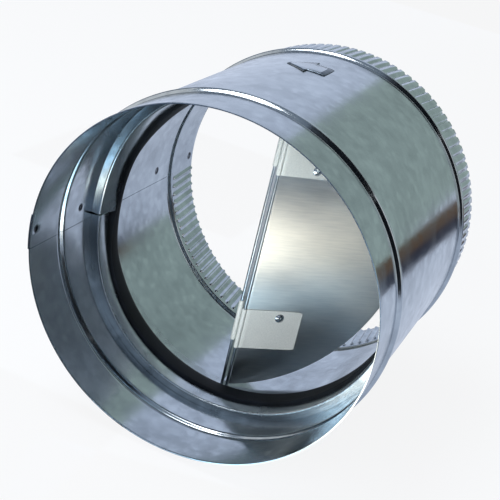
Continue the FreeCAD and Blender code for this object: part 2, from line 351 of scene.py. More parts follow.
def bead_rise(x, depth):
    """Height above the plain wall: a crown arc between two foot arcs that meet it smoothly."""
    crown, foot = CROWN_RADIUS + depth, FOOT_RADIUS - depth
    rise = np.zeros(np.broadcast_shapes(np.shape(x), np.shape(depth)))
    for bead_x in BEADS:
        gap = np.abs(x - bead_x)
        meet = crown * BEAD_REACH / BOTH_RADII
        on_crown = BEAD_HEIGHT - crown + np.sqrt(np.maximum(crown ** 2 - gap ** 2, 0))
        on_foot = foot - np.sqrt(np.maximum(foot ** 2 - (BEAD_REACH - gap) ** 2, 0))
        here = np.where(gap < meet, on_crown, on_foot)
        rise = rise + np.where(gap < BEAD_REACH, here, 0)
    return rise


def crimp_wave(degrees):
    """0 on a crest and 1 in a valley, with smooth flanks; 0 all along the plain arc."""
    turn = (degrees - PLAIN_ARC[1]) * CRIMPS / 360
    share = turn - np.floor(turn)
    wave = smooth_step(share, 0.55, 0.72) - smooth_step(share, 0.83, 1.0)
    middle = PLAIN_ARC[1] + (np.floor(turn) + 0.5) * 360 / CRIMPS
    plain = (middle > 360 + PLAIN_ARC[0]) | (middle < PLAIN_ARC[1])
    return np.where(plain, 0, wave)


crimp_pitch = 2 * math.pi * CRIMP_CRESTS[0] / CRIMPS
print("a bead spans", round(2 * BEAD_REACH, 2), "mm; a crimp", round(crimp_pitch, 2), "mm")

# %% Rows along the profile and columns round the duct
EDGE_PAIR = 0.012


def casing_columns():
    """Angles of the columns: six to a crimp, and pairs at the edges of the lap and the slit."""
    shares = np.array([0.0, 0.28, 0.55, 0.66, 0.775, 0.89])
    start = PLAIN_ARC[1] + 360 / CRIMPS * (np.arange(CRIMPS)[:, None] + shares[None, :])
    edges = np.array([LAP[0], SLIT_END, LAP[1]]) + 360
    pairs = (edges[:, None] + EDGE_PAIR * np.array([-1, 1])[None, :]).ravel()
    return np.unique(np.concatenate([start.ravel(), pairs]))


def casing_rows():
    """Places along the duct and depths in the sheet, out along the outside and back inside."""
    beads = [bead_x + BEAD_REACH * np.linspace(-1, 1, 13) for bead_x in BEADS]
    plain = np.array([0.12, 1, 3, 8, 14, 19, 21, 28, 30, 34, 46, 60, 77, 94, 110, 119, 123, 125])
    crimped = BARREL_END + np.array([0, 0.6, 1.2, 1.8, 2.3, 8.0, 14.0, 20.7])
    outside = np.sort(np.concatenate(beads + [plain, crimped]))
    welds = [place + WELD_RADIUS * np.linspace(-1, 1, 7) for place in WELD_PLACES]
    inside = np.sort(np.concatenate([outside] + welds))
    places = np.concatenate([
        outside, [LENGTH - 0.03, LENGTH, LENGTH, LENGTH - 0.03], inside[::-1], [0.03, 0, 0, 0.03],
    ])
    rounded = np.array([0.96, 0.8, 0.2, 0.04])
    depths = np.concatenate([np.full(len(outside), 1.0), rounded, np.zeros(len(inside)), rounded[::-1]])
    return places, depths * SHEET


row_x, row_depth = casing_rows()
columns = casing_columns()
print(len(row_x), "rows and", len(columns), "columns")

# %% The casing's surface
def casing_points():
    """Radius = bore + depth + bead + lap + slit - crimp + weld dent + two slight waves + oval."""
    x = row_x[:, None]
    depth = row_depth[:, None]
    angle = columns[None, :]
    nearest = (angle + 180) % 360 - 180
    barrel = x < BARREL_END
    radius = BORE + depth + bead_rise(x, depth)
    on_lap = (nearest > LAP[0]) & (nearest < LAP[1])
    radius = radius + np.where(on_lap & barrel, depth, 0)
    in_slit = (nearest > LAP[0]) & (nearest < SLIT_END) & (depth == 0) & barrel & (x > 0.5)
    radius = radius + np.where(in_slit, SLIT, 0)
    run = smooth_step(x, BARREL_END, BARREL_END + CRIMP_RUN_IN)
    taper = np.clip((x - BARREL_END - CRIMP_RUN_IN) / (LENGTH - BARREL_END - CRIMP_RUN_IN), 0, 1)
    crest = CRIMP_CRESTS[0] + (CRIMP_CRESTS[1] - CRIMP_CRESTS[0]) * taper
    radius = radius + run * (crest - OUTSIDE) - run * CRIMP_DEPTH * crimp_wave(angle)
    for weld_x in WELD_PLACES:
        across = np.radians(nearest - WELD_ANGLE - WELD_DRIFT * weld_x) * BORE
        away = np.sqrt((x - weld_x) ** 2 + across ** 2)
        dent = WELD_DENT * smooth_step(WELD_RADIUS - away, 0, 0.6 * WELD_RADIUS)
        radius = radius + np.where(depth == 0, dent, 0)
    turn = np.radians(angle)
    away_from_ends = smooth_step(x, *WAVE_FADE) * smooth_step(LENGTH - x, *WAVE_FADE)
    for size, count, slope, start in WAVES:
        radius = radius + size * np.sin(count * turn + slope * x + start) * away_from_ends
    return polar(x, radius + oval(x, angle), angle + CRIMP_SLANT * taper)


weld_row = np.array(WELD_PLACES)
weld_points = MM * polar(weld_row, BORE, WELD_ANGLE + WELD_DRIFT * weld_row)
galvanised_steel = galvanised(
    "galvanised_steel", ("#949ca3", "#a9b1b8", "#bec6cc"), 0.16, weld_points.tolist()
)
# Dark zinc for the arrow's slopes: painted shade along the edges of the stamped relief.
painted_shade_zinc = galvanised("painted_shade_zinc", ("#454e59", "#59636e", "#6b7580"), 0.35)
ring_steel = galvanised("galvanised_ring_steel", ("#939ba1", "#adb5bb", "#c6ccd1"), 0.24)
casing_grid = casing_points()
casing_piece = make_piece(
    "casing_sheet", casing_grid, grid_faces(len(row_x), len(columns), True, True), sharp=50
)
place(casing_piece, "casing_body", "galvanised_casing", ["casing"], galvanised_steel)

# %% [markdown]
# ## Sections swept round the duct
# The seat ring and the gasket are sections swept round the duct. A section is a closed line of
# (x, radius) points, in which every bend is a sampled arc. A full turn closes on itself; the ring
# is split at its joint, so its sweep stops short and two end faces close it.

# %% Arcs
def arc(centre, radius, start, end, steps=5):
    """Points centre + radius (cos a, sin a), with a running from start to end in degrees."""
    angle = np.radians(np.linspace(start, end, steps + 1))
    return np.stack([centre[0] + radius * np.cos(angle), centre[1] + radius * np.sin(angle)], -1)


print("a bend of", len(arc((0, 0), 1, 0, 90)), "points")

# %% [markdown]
# ## A hoop bent by hand
# The ring is a strip of sheet, folded into a channel and bent into a hoop. Such a hoop is never
# quite true. Near its joint it stands further back in the duct, which a bell curve describes. Its
# upper end has sprung: there the section leans into the airway and is a little wider. The gasket
# is bonded behind the crest and follows it, but being soft it takes up the lean gradually. The
# hoop's foot sits in the oval mouth, while its folded crest is stiff and stays round.

# %% The hoop's places round the duct
RING_FRONT = 45.0
CREST_WIDTH = 8.2
JOINT_ANGLE = -6.6
FAR_LAG, NEAR_LAG = -3.1, 10.1
LAG_MIDDLE, LAG_SPREAD = 8.7, 38.4
UPPER_LEAN = 16.3
WIDENING, UPPER_WIDENING = 0.8, 2.0
LEAN_FADE = (20.0, 75.0)


def turn_from(degrees, start):
    """The same angle counted within half a turn either side of a start."""
    return (np.asarray(degrees) - start + 180) % 360 - 180


def hoop_lag(degrees):
    """How far back the hoop stands: far + near exp(-(a/s)^2), a counted from the bell's middle."""
    away = turn_from(degrees, LAG_MIDDLE)
    return FAR_LAG + NEAR_LAG * np.exp(-(away / LAG_SPREAD) ** 2)


def upper_share(degrees, low, high):
    """0 below the joint, 1 above it, and fading out again higher up."""
    angle = turn_from(degrees, 0)
    return smooth_step(angle, low, high) * (1 - smooth_step(angle, *LEAN_FADE))


def leaned(x, radius, foot_x, lean):
    """Turns a section about the foot of its front web, so that its back leans into the airway."""
    turn = np.radians(lean)
    along, up = x - foot_x, radius - BORE
    return (
        foot_x + along * np.cos(turn) + up * np.sin(turn),
        BORE - along * np.sin(turn) + up * np.cos(turn),
    )


for angle in (-90, -30, JOINT_ANGLE, 40):
    print("at", angle, "degrees the hoop stands at", round(float(RING_FRONT + hoop_lag(angle)), 1))

# %% [markdown]
# ## The seat ring
# The crest of the channel stands about 4 mm into the airway, where it catches the light as a pale
# line, and the gap where the two ends of the hoop meet can be seen beside the lap seam. Behind
# the crest a flange lies on the wall as far as the pins. Where the hoop leans, that flange would
# stand in the way of the closed blade, so it ends earlier there.

# %% The seat ring
RING_SHEET = 0.6
CREST_RADIUS = 71.6
FLANGE_END = 69.9
CUT_END, CUT_RADII = 65.9, (73.8, 74.9)
BEND = 1.0
RING_FIT = 0.05
JOINT_GAP = 1.0
FOOT = BORE - RING_FIT


def ring_section():
    """Outer line and inner line of the folded strip, each bend a quarter circle."""
    rear = RING_FRONT + CREST_WIDTH
    under = FOOT - RING_SHEET
    inside = BEND - RING_SHEET
    crest = CREST_RADIUS + BEND
    return np.concatenate([
        [(RING_FRONT, FOOT)],
        arc((RING_FRONT + BEND, crest), BEND, 180, 270),
        arc((rear - BEND, crest), BEND, 270, 360),
        arc((rear + inside, under - inside), inside, 180, 90),
        [(FLANGE_END, under), (FLANGE_END, FOOT)],
        arc((rear + inside, under - inside), BEND, 90, 180),
        arc((rear - BEND, crest), inside, 360, 270),
        arc((RING_FRONT + BEND, crest), inside, 270, 180),
        [(RING_FRONT + RING_SHEET, FOOT)],
    ])


def ring_points(section, angles):
    """The front web takes the lag, the rear web also the widening, and the flange's end stays.

    A radius below CUT_RADII is in reach of a blade, so the flange ends at CUT_END there.
    """
    x, radius = section[:, 0][:, None], section[:, 1][:, None]
    lag = hoop_lag(angles)[None, :]
    upper = upper_share(angles, JOINT_ANGLE - 0.1, JOINT_ANGLE + 0.1)[None, :]
    rear = np.where(x < FLANGE_END - 0.01, lag + WIDENING + UPPER_WIDENING * upper, 0)
    moved = x + np.where(x < RING_FRONT + CREST_WIDTH / 2, lag, rear)
    at, out = leaned(moved, radius, RING_FRONT + lag, UPPER_LEAN * upper)
    at = np.minimum(at, CUT_END + (FLANGE_END - CUT_END) * smooth_step(out, *CUT_RADII))
    fitted = oval(at, angles[None, :]) * smooth_step(out, CREST_RADIUS, FOOT)
    return polar(at, np.minimum(out, FOOT) + fitted, angles[None, :])


half_gap = math.degrees(JOINT_GAP / CREST_RADIUS) / 2
ring_angles = np.linspace(JOINT_ANGLE + half_gap, JOINT_ANGLE + 360 - half_gap, 361)
ring_line = ring_section()
ring_piece = make_piece(
    "seat_ring_hoop",
    ring_points(ring_line, ring_angles),
    grid_faces(len(ring_line), len(ring_angles), close_rows=True),
    column_caps(len(ring_line), len(ring_angles)),
)
place(ring_piece, "casing_body", "galvanised_ring", ["seat_ring"], ring_steel)

# %% [markdown]
# ## The gasket
# A ring of soft EPDM rubber sits behind the crest, and the closed blades press on its rounded
# corner. Rubber is nearly black, a little blue under the sky, and its broad weak gloss comes from
# a roughness above one half. A fine noise gives it the dull skin of extruded rubber.

# %% Rubber
RUBBER_GRAIN = 0.5
RUBBER_RELIEF = 0.05
DUST = 12.0


def rubber(name):
    """Near-black EPDM with a dull extruded skin."""
    material, tree = new_material(name)
    place_on = add_node(tree, "ShaderNodeTexCoord").outputs["Object"]
    skin = noise(tree, place_on, RUBBER_GRAIN, 3.0)
    dust = noise(tree, place_on, DUST, 4.0)
    colour = colour_ramp(tree, dust.outputs["Fac"], [(0.35, "#05070b"), (0.7, "#0e121a")])
    bump = add_node(
        tree, "ShaderNodeBump", Height=skin.outputs["Fac"], Strength=0.3, Distance=RUBBER_RELIEF * MM
    )
    shader = add_node(
        tree, "ShaderNodeBsdfPrincipled", Base_Color=colour.outputs["Color"],
        Roughness=0.6, Specular_IOR_Level=0.3, Normal=bump.outputs[0],
    )
    finish_material(tree, shader)
    return material


gasket_rubber = rubber("epdm_rubber")
print("rubber grain", RUBBER_GRAIN, "mm, dust", DUST, "mm")

# %% The gasket
GASKET_INNER = 70.2
GASKET_CORNER = 4.0
GASKET_EASE = 0.5
BOND = 0.05
PIN_X = 66.5
CLOSED_GAP = 0.3
BLADE_SHEET = 0.5
GASKET_BACK = PIN_X - BLADE_SHEET / 2 - CLOSED_GAP
GASKET_LEAN, GASKET_LEAN_RISE = 17.8, (-27.0, 5.7)
SQUEEZE = 4.4
SQUEEZE_ON, SQUEEZE_OFF = (-150.0, -85.0), (-75.0, 5.0)


def gasket_section():
    """A block of rubber whose front inner edge is eased and whose back inner corner is round."""
    front = RING_FRONT + CREST_WIDTH + BOND
    base = FOOT - RING_SHEET - BOND
    ease = GASKET_EASE
    return np.concatenate([
        [(front, base - BEND)],
        arc((front + ease, GASKET_INNER + ease), ease, 180, 270, 3),
        arc((GASKET_BACK - GASKET_CORNER, GASKET_INNER + GASKET_CORNER), GASKET_CORNER, 270, 360, 7),
        [(GASKET_BACK, base), (front + BEND, base)],
    ])


def gasket_points(section, angles):
    """The front follows the ring; the back is squeezed forward where the rubber has set."""
    x, radius = section[:, 0][:, None], section[:, 1][:, None]
    angle = turn_from(angles, 0)[None, :]
    lag = hoop_lag(angle)
    squeeze = SQUEEZE * smooth_step(angle, *SQUEEZE_ON) * (1 - smooth_step(angle, *SQUEEZE_OFF))
    upper = upper_share(angle, *GASKET_LEAN_RISE)
    middle = (RING_FRONT + CREST_WIDTH + GASKET_BACK - GASKET_CORNER) / 2
    moved = x + np.where(x < middle, lag + WIDENING + UPPER_WIDENING * upper, -squeeze)
    at, out = leaned(moved, radius, RING_FRONT + lag, GASKET_LEAN * upper)
    back = np.minimum(at, GASKET_BACK)
    fitted = oval(back, angle) * smooth_step(out, CREST_RADIUS, FOOT)
    return polar(back, np.minimum(out, FOOT - RING_SHEET) + fitted, angle)


gasket_line = gasket_section()
gasket_angles = np.arange(0, 360, 1.0)
gasket_piece = make_piece(
    "rubber_gasket_ring",
    gasket_points(gasket_line, gasket_angles),
    grid_faces(len(gasket_line), len(gasket_angles), True, True),
)
place(gasket_piece, "casing_body", "rubber_gasket", ["gasket"], gasket_rubber)

# %% [markdown]
# ## The blades and where they hang
# Both blades are drawn closed, as the left one, with the pin's axis at the origin. One function
# then mirrors a piece for the right side, opens it to the angle of the photograph and moves it to
# its pin, so that blades, straps, rivets and springs all agree.

# %% Opening a blade
PIN_SIDE = 1.2
PIN_RADIUS = 0.7
OPEN_ANGLE = {"left": 84.0, "right": 40.0}


def opened(points, side):
    """Mirror y for the right side, turn about the pin, and move to the pin."""
    hand = 1 if side == "left" else -1
    turn = -hand * math.radians(OPEN_ANGLE[side])
    from_pin = hand * points[..., 1]
    x = points[..., 0] * math.cos(turn) - from_pin * math.sin(turn)
    y = points[..., 0] * math.sin(turn) + from_pin * math.cos(turn)
    return np.stack([x + PIN_X, y + hand * PIN_SIDE, points[..., 2]], -1)


for side in OPEN_ANGLE:
    far_edge = opened(np.array([0, BORE - PIN_SIDE, 0]), side)
    print("the", side, "blade reaches", far_edge.round(1).tolist())

# %% [markdown]
# ## Bright metals
# The blades are bright rolled aluminium. Rolling leaves fine parallel lines, so the gloss is
# stretched across them; that is anisotropy, and it needs a direction that follows the sheet,
# which the blade's UV map gives. Straps, pins and springs are steel in three finishes, and rivets
# are aluminium again. One recipe with a few settings makes them all. The straps are a dull,
# skin-passed strip that hardly mirrors anything, so only a small part of them is set as metal.

# %% Sheet and wire metals
METAL_CLOUD = 22.0
STREAK_DEPTH = 0.01


def bright_metal(name, tones, gloss, grain, stretch=(1, 1, 1), anisotropic=0.0, metallic=1.0):
    """A metal with streaks: grain is in millimetres, and a stretch below 1 draws it out."""
    material, tree = new_material(name)
    place_on = add_node(tree, "ShaderNodeTexCoord").outputs["Object"]
    drawn = add_node(tree, "ShaderNodeMapping", Vector=place_on, Scale=stretch)
    streak = noise(tree, drawn.outputs[0], grain, 4.0)
    broad = noise(tree, place_on, METAL_CLOUD, 2.0)
    both = math_node(tree, "MULTIPLY_ADD", broad.outputs["Fac"], 0.6, streak.outputs["Fac"])
    colour = colour_ramp(tree, both, [(0.45, tones[0]), (1.1, tones[1])])
    shine = add_node(
        tree, "ShaderNodeMapRange", Value=both,
        From_Min=0.4, From_Max=1.2, To_Min=gloss * 0.8, To_Max=gloss * 1.25,
    )
    bump = add_node(
        tree, "ShaderNodeBump", Height=streak.outputs["Fac"], Strength=0.2, Distance=STREAK_DEPTH * MM
    )
    shader = add_node(
        tree, "ShaderNodeBsdfPrincipled", Base_Color=colour.outputs["Color"], Metallic=metallic,
        Roughness=shine.outputs[0], Normal=bump.outputs[0], Anisotropic=anisotropic,
    )
    if anisotropic:
        across = add_node(tree, "ShaderNodeTangent", {"direction_type": "UV_MAP", "uv_map": "rolling"})
        tree.links.new(across.outputs[0], shader.inputs["Tangent"])
    finish_material(tree, shader)
    return material


rolled_aluminium = bright_metal(
    "rolled_aluminium", ("#e4e6e5", "#f4f4f1"), 0.37, 0.8, (0.08, 0.08, 1), anisotropic=1.0
)
strap_steel = bright_metal("skin_passed_steel_strip", ("#d6dbd8", "#e8ebe7"), 0.5, 0.6, metallic=0.15)
pin_wire = bright_metal("zinc_plated_wire", ("#9aa5ae", "#c5ccd2"), 0.3, 0.5, (1, 1, 0.1))
rivet_aluminium = bright_metal("blind_rivet_aluminium", ("#b9c0c4", "#e4e8ea"), 0.25, 0.4)
spring_wire = bright_metal("stainless_spring_wire", ("#8f969c", "#c9ced2"), 0.25, 0.3)
print("materials:", sorted(material.name for material in bpy.data.materials))

# %% [markdown]
# ## The blade sheet
# A blade is a half disc of thin sheet whose straight edge stops just short of the pin. The grid
# runs along the pin in rows and away from it in columns, and every row ends on the circle. Rows
# crowd together towards the tips, where the circle turns fastest. A real sheet this thin is never
# flat, so a shallow bow is added, and a small notch leaves room for the spring's coil. Each
# point keeps its two lengths on the flat sheet as a UV map, for the direction of rolling.

# %% The blades
BLADE_RADIUS = 73.6
EDGE_GAP = 0.25
SPRING_BASE = 60.0
NOTCH_LOW, NOTCH_HIGH, NOTCH_DEPTH = SPRING_BASE - 1.2, SPRING_BASE + 2.8, 1.72
BOW = 0.175
EDGE_ROUND = 0.08


def blade_points():
    """Two skins either side of BOW cos(pi h / 2 tip) sin(pi a / radius), joined round the edge."""
    start = PIN_RADIUS + EDGE_GAP
    tip = math.sqrt(BLADE_RADIUS ** 2 - (start + PIN_SIDE) ** 2)
    v = np.linspace(-1, 1, 141)
    height = (tip * np.sin(v * math.pi / 2))[:, None]
    near = np.where((height > NOTCH_LOW) & (height < NOTCH_HIGH), NOTCH_DEPTH, start)
    far = np.sqrt(np.maximum(BLADE_RADIUS ** 2 - height ** 2, 0)) - PIN_SIDE
    far = np.maximum(far, near + 0.02)
    share = np.concatenate([[0, 0.004], np.linspace(0.02, 0.98, 38), [0.996, 1]])[None, :]
    along = near + (far - near) * share
    inset = np.clip(np.minimum(along - near, far - along) / EDGE_ROUND, None, 1)
    bow = BOW * np.cos(height / tip * math.pi / 2) * np.sin(along / BLADE_RADIUS * math.pi)
    half = BLADE_SHEET / 2 * (0.7 + 0.3 * inset)
    front = np.stack(np.broadcast_arrays(bow - half, along, height), -1)
    back = np.stack(np.broadcast_arrays(bow + half, along, height), -1)
    return np.concatenate([front, back[:, ::-1]], 1)


blade_grid = blade_points()
for side in OPEN_ANGLE:
    blade_piece = make_sleeve(
        side + "_blade_sheet", opened(blade_grid, side), sharp=60, rolled=blade_grid[..., 1:]
    )
    place(blade_piece, side + "_blade", "aluminium_blade", ["blade_" + side], rolled_aluminium)

# %% [markdown]
# ## The hinge straps
# Each strap is one strip of thin steel folded round the pin, with a leg on each face of the blade.
# Its section is a path with a thickness: a straight leg, most of a circle round the pin, and a
# straight leg back. The section is drawn out along the pin, and the far corners are rounded by
# narrowing the strip over its last half millimetre.

# %% The straps
STRAP_SHEET = 0.35
STRAP_WIDTH = 20.2
STRAP_REACH = 28.5
STRAP_BACK_REACH = 24.0
STRAP_MIDDLE = 43.5
LEFT_SHIFT = 3.5
STRAP_CORNER = 0.5
STRAP_FIT = 0.05
LEG_START = 0.3
LEG_POINTS, LOOP_POINTS = 14, 22


def strap_path():
    """The middle line of the strip: front leg, loop, back leg, with its outward normals."""
    leg = (BLADE_SHEET + STRAP_SHEET) / 2
    loop = PIN_RADIUS + STRAP_FIT + STRAP_SHEET / 2
    lift = math.degrees(math.acos(leg / loop))
    root = loop * math.sin(math.radians(lift)) + LEG_START
    turn = np.radians(np.linspace(180 - lift, 360 + lift, LOOP_POINTS))
    outward = np.stack([np.cos(turn), np.sin(turn)], -1)
    side = np.repeat([[1.0, 0.0]], LEG_POINTS, 0)
    front = -leg * side + np.linspace([0, STRAP_REACH], [0, root], LEG_POINTS)
    back = leg * side + np.linspace([0, root], [0, STRAP_BACK_REACH], LEG_POINTS)
    return np.concatenate([front, loop * outward, back]), np.concatenate([-side, outward, side])


def strap_points(middle):
    """Outer and inner lines of the strip, drawn out in z and narrowed at the far corners."""
    line, normal = strap_path()
    outer = line + normal * STRAP_SHEET / 2
    inner = line - normal * STRAP_SHEET / 2
    section = np.concatenate([outer, inner[::-1]])
    reach = np.repeat([STRAP_REACH, STRAP_BACK_REACH], len(line) // 2)
    reach = np.concatenate([reach, reach[::-1]])
    past = np.clip(section[:, 1] - (reach - STRAP_CORNER), 0, STRAP_CORNER)
    narrow = STRAP_CORNER - np.sqrt(STRAP_CORNER ** 2 - past ** 2)
    across = np.array([-1, -0.985, -0.5, 0, 0.5, 0.985, 1])
    height = middle + across[:, None] * (STRAP_WIDTH / 2 - narrow)[None, :]
    flat = np.broadcast_to(section[None, :, :], (len(across), len(section), 2))
    return np.concatenate([flat, height[:, :, None]], -1)


strap_places = {
    "left_upper": STRAP_MIDDLE + LEFT_SHIFT, "left_lower": -STRAP_MIDDLE + LEFT_SHIFT,
    "right_upper": STRAP_MIDDLE, "right_lower": -STRAP_MIDDLE,
}
for key, middle in strap_places.items():
    side = key.split("_")[0]
    strap_piece = make_sleeve("folded_strap_" + key, opened(strap_points(middle), side))
    place(strap_piece, side + "_blade", "strap_steel", ["hinge_strap_" + key], strap_steel)

# %% [markdown]
# ## Rivets and pins
# A blind rivet has a low domed head with a small hole where its stem snapped off, and a squeezed
# tail behind. It is a profile turned about its own axis. A profile ends a hair from the axis, so
# one small face closes each end. A hinge pin is the same kind of shape, long and thin.

# %% Turned pieces
def turned(profile, steps):
    """A profile of (place along the axis, radius), turned about the first axis."""
    angle = np.arange(steps) * 2 * math.pi / steps
    along = np.broadcast_to(profile[:, 0][:, None], (len(profile), steps))
    radius = profile[:, 1][:, None]
    return np.stack([along, radius * np.cos(angle), radius * np.sin(angle)], -1)


print("5 points turned in 12 steps:", turned(np.ones((5, 2)), 12).shape)

# %% The rivets
RIVET_ALONG = 17.6
RIVET_FROM_EDGE = 3.7
HEAD_RADIUS, HEAD_HEIGHT = 2.2, 0.9
TAIL_RADIUS, TAIL_HEIGHT = 1.8, 0.7
EYE_RADIUS, EYE_DEPTH = 0.65, 0.7
SHANK_RADIUS = 1.2
RIVET_STEPS = 48
AXIS_GAP = 0.02


def rivet_profile():
    """Eye, dome, rim, shank and tail; a dome of height h and radius r is (r^2 + h^2) / 2h round."""
    front = BLADE_SHEET / 2 + STRAP_SHEET
    dome = (HEAD_RADIUS ** 2 + HEAD_HEIGHT ** 2) / (2 * HEAD_HEIGHT)
    centre = -front - HEAD_HEIGHT + dome
    spread = math.degrees(math.asin(HEAD_RADIUS / dome))
    eye = math.degrees(math.asin(EYE_RADIUS / dome))
    top = centre - math.sqrt(dome ** 2 - EYE_RADIUS ** 2)
    return np.concatenate([
        [(top + EYE_DEPTH, AXIS_GAP), (top + EYE_DEPTH, EYE_RADIUS * 0.85)],
        [(top + 0.1, EYE_RADIUS * 0.95)],
        arc((centre, 0), dome, 180 - eye, 180 - spread * 0.97, 10),
        [(-front - 0.05, HEAD_RADIUS), (-front, HEAD_RADIUS * 0.98), (-front, SHANK_RADIUS)],
        [(front, SHANK_RADIUS), (front, TAIL_RADIUS * 0.95)],
        arc((front + TAIL_HEIGHT * 0.4, TAIL_RADIUS * 0.6), TAIL_RADIUS * 0.4, 110, 10, 6),
        [(front + TAIL_HEIGHT, SHANK_RADIUS * 0.5), (front + TAIL_HEIGHT, AXIS_GAP)],
    ])


rivet_line = rivet_profile()
for key, middle in strap_places.items():
    side = key.split("_")[0]
    inward = -1 if middle > 0 else 1
    height = middle + inward * (STRAP_WIDTH / 2 - RIVET_FROM_EDGE)
    grid = turned(rivet_line, RIVET_STEPS) + np.array([0, RIVET_ALONG, height])
    rivet_piece = make_sleeve("blind_rivet_" + key, opened(grid, side))
    place(rivet_piece, side + "_blade", "rivet_aluminium", ["strap_rivet_" + key], rivet_aluminium)

# %% The hinge pins
PIN_END_GAP = 0.2
PIN_EASE = 0.2
PIN_STEPS = 32

reach = math.sqrt(BORE ** 2 - (PIN_SIDE + PIN_RADIUS) ** 2) - PIN_END_GAP
pin_line = np.concatenate([
    [(-reach, AXIS_GAP)],
    arc((-reach + PIN_EASE, PIN_RADIUS - PIN_EASE), PIN_EASE, 180, 90, 4),
    np.stack([np.linspace(-reach + 1, reach - 1, 9), np.full(9, PIN_RADIUS)], -1),
    arc((reach - PIN_EASE, PIN_RADIUS - PIN_EASE), PIN_EASE, 90, 0, 4),
    [(reach, AXIS_GAP)],
])
lying = turned(pin_line, PIN_STEPS)
for side, pin_y in (("left", PIN_SIDE), ("right", -PIN_SIDE)):
    grid = np.stack([lying[..., 1] + PIN_X, lying[..., 2] + pin_y, lying[..., 0]], -1)
    pin_piece = make_sleeve(side + "_pin_wire", grid)
    place(pin_piece, "casing_body", "pin_wire", ["hinge_pin_" + side], pin_wire)

# %% [markdown]
# ## The closing springs
# A torsion spring of thin wire sits round the top of each pin: a leg behind the blade, four
# turns, and a tail beside the pin. The wire's middle line is a helix between two straight runs.
# At each of its points a small circle stands across the line; its two directions come from the
# line's own tangent and the direction away from the pin.

# %% The springs
WIRE_RADIUS = 0.17
COIL_RADIUS = PIN_RADIUS + 0.08 + WIRE_RADIUS
COIL_TURNS, COIL_PITCH = 4, 0.4
LEG_REACH = 14.0
TAIL_BEND = 2 * WIRE_RADIUS
LEG_GAP, TAIL_GAP = 0.05, 0.3
TURN_POINTS, RUN_POINTS = 30, 12
WIRE_STEPS = 12


def spring_line():
    """Leg, helix (angle 0 to -8 pi, rising one pitch a turn), and a tail up beside the pin."""
    turn = -2 * math.pi * COIL_TURNS * np.linspace(0, 1, TURN_POINTS * COIL_TURNS + 1)
    rise = SPRING_BASE - COIL_PITCH * turn / (2 * math.pi)
    coil = np.stack([COIL_RADIUS * np.cos(turn), COIL_RADIUS * np.sin(turn), rise], -1)
    share = np.linspace(0, 1, RUN_POINTS)[:, None]
    leg_end = np.array([BLADE_SHEET / 2 + WIRE_RADIUS + LEG_GAP, LEG_REACH, SPRING_BASE])
    leg = leg_end + (coil[0] - leg_end) * share[:-1]
    side = PIN_SIDE + COIL_RADIUS + WIRE_RADIUS
    top = math.sqrt((BORE - RING_FIT - RING_SHEET) ** 2 - side ** 2) - TAIL_GAP
    low = coil[-1] + np.array([0, -TAIL_BEND, TAIL_BEND])
    tail = low + (np.array([low[0], low[1], top]) - low) * share
    return np.concatenate([leg, coil, tail])


def tube(line, radius, steps):
    """Circles of points across a line, in the plane of its normal and its binormal."""
    tangent = np.gradient(line, axis=0)
    tangent /= np.linalg.norm(tangent, axis=1)[:, None]
    outward = line * np.array([1, 1, 0]) + np.array([1e-3, 0, 0])
    side = np.cross(tangent, outward)
    side /= np.linalg.norm(side, axis=1)[:, None]
    normal = np.cross(side, tangent)
    angle = (np.arange(steps) * 2 * math.pi / steps)[None, :, None]
    return line[:, None] + radius * (normal[:, None] * np.cos(angle) + side[:, None] * np.sin(angle))


wire_line = spring_line()
wire_grid = tube(wire_line, WIRE_RADIUS, WIRE_STEPS)
for side in OPEN_ANGLE:
    spring_piece = make_sleeve(side + "_closing_spring", opened(wire_grid, side))
    place(spring_piece, side + "_blade", "spring_wire", ["closing_spring_" + side], spring_wire)

# %% [markdown]
# ## The flow arrow
# A plain block arrow is stamped into the top of the casing. Its relief is only a few tenths of a
# millimetre, and what one sees is its sloping edge, which is given a dark zinc as painted shade.
# The shape is a half width that depends on the distance from the tip: it grows along the
# head, drops to the shaft and stays. The slopes are the faces with the second material, the painted
# shade.

# %% The arrow
ARROW_TIP, ARROW_NECK, ARROW_TAIL = 77.8, 86.7, 93.2
ARROW_MIDDLE_X = 94.0
HEAD_HALF, SHAFT_HALF = 10.4, 6.6
ARROW_RELIEF, ARROW_SLOPE = 0.25, 0.4
ARROW_ROOT = 0.12
HEAD_ROWS, SHAFT_ROWS = 12, 8


def arrow_points():
    """Rows from the tip to the tail; across each row a foot, four points of the top, and a foot."""
    head = np.linspace(ARROW_TIP, ARROW_NECK, HEAD_ROWS)
    shaft = np.linspace(ARROW_NECK, ARROW_TAIL, SHAFT_ROWS)
    widening = HEAD_HALF * (head - ARROW_TIP) / (ARROW_NECK - ARROW_TIP)
    half = np.concatenate([widening, np.full(SHAFT_ROWS, SHAFT_HALF)])
    angle = np.concatenate([head, shaft + 0.02])
    slope = math.degrees(ARROW_SLOPE / OUTSIDE)
    rise = smooth_step(angle, ARROW_TIP, ARROW_TIP + 1.5 * slope)
    fall = smooth_step(angle, ARROW_TAIL - slope, ARROW_TAIL)
    ends = np.minimum(rise, 1 - fall)
    across = np.array([-1.0, -1.0, -0.4, 0.4, 1.0, 1.0])
    raised = np.array([0, 1, 1, 1, 1, 0])
    top_half = np.maximum(half - ARROW_SLOPE, 0.02)
    width = np.where(raised[None, :] > 0, top_half[:, None], half[:, None] + 0.05)
    x = ARROW_MIDDLE_X + across[None, :] * width
    radius = OUTSIDE - ARROW_ROOT + (ARROW_RELIEF + ARROW_ROOT) * raised[None, :] * ends[:, None]
    return polar(x, radius, angle[:, None])


